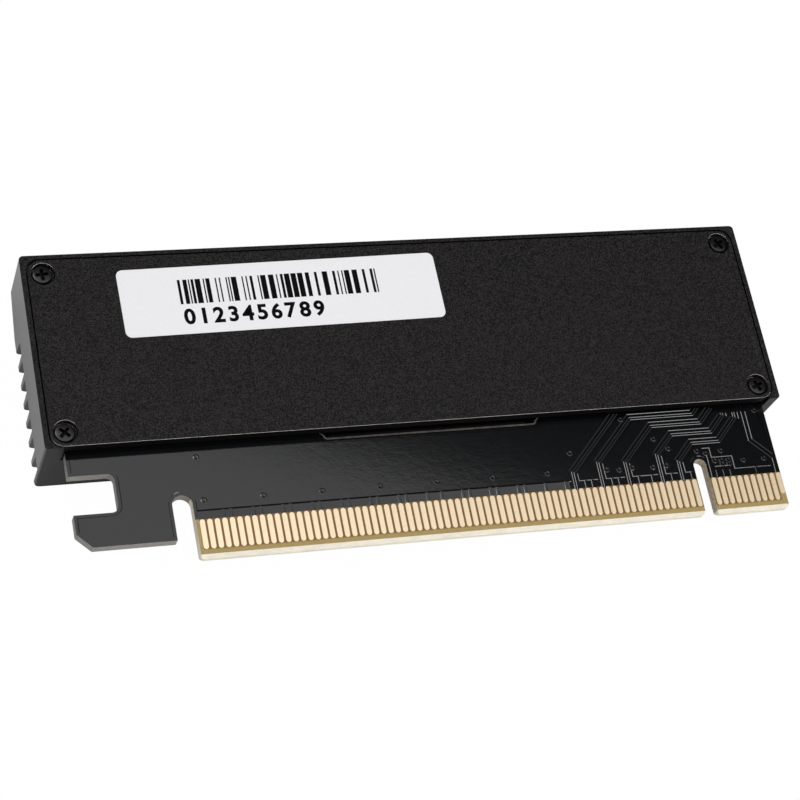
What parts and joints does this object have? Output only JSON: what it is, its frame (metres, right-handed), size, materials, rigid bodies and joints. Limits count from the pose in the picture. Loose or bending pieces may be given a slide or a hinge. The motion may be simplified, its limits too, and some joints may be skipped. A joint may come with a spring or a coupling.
{
  "type": "m.2 drive adapter card",
  "caption": "Adapter card that holds one M.2 solid state drive inside a finned aluminium case and plugs into a long edge-connector slot.",
  "frame": {"origin": "on the plane of the fin crests, under the middle of the card's box in plan", "axes": "+X along the card towards its first contact, +Y from the contact edge to the heatsink's far side, +Z from the fin crests to the back plate"},
  "size_m": [0.1046, 0.0434, 0.0125],
  "materials": {
    "anodised_shell": "fine bead-blasted and black anodised",
    "anodised_plate": "coarse bead-blasted and black anodised",
    "blackened_screw": "black zinc plated",
    "board_mask": "glass-epoxy laminate under black solder mask",
    "contact_gold": "hard gold plating on copper",
    "socket_plastic": "moulded heat-resistant plastic",
    "pin_gold": "gold-plated copper alloy",
    "tinned_metal": "bright tin",
    "thermal_pad": "soft silicone gap pad",
    "ferrite": "moulded ferrite",
    "package_black": "moulded epoxy",
    "capacitor_body": "bare multilayer ceramic",
    "resistor_body": "glass-coated alumina",
    "label_stock": "matt white film"
  },
  "bodies": {
    "root": {"heatsink_shell": "anodised_shell", "back_plate": "anodised_plate", "cover_screws": "blackened_screw", "circuit_board": "board_mask", "front_edge_contacts": "contact_gold", "rear_edge_contacts": "contact_gold", "socket_housing": "socket_plastic", "upper_socket_pins": "pin_gold", "lower_socket_pins": "pin_gold", "socket_solder_nails": "tinned_metal", "drive_standoff": "tinned_metal", "drive_screw": "blackened_screw", "bay_thermal_pad": "thermal_pad", "plate_thermal_pad": "thermal_pad", "power_inductor": "ferrite", "regulator_body": "package_black", "regulator_leads": "tinned_metal", "bulk_capacitors": "capacitor_body", "ceramic_capacitors": "capacitor_body", "chip_resistors": "resistor_body", "serial_label": "label_stock"}
  },
  "joints": []
}
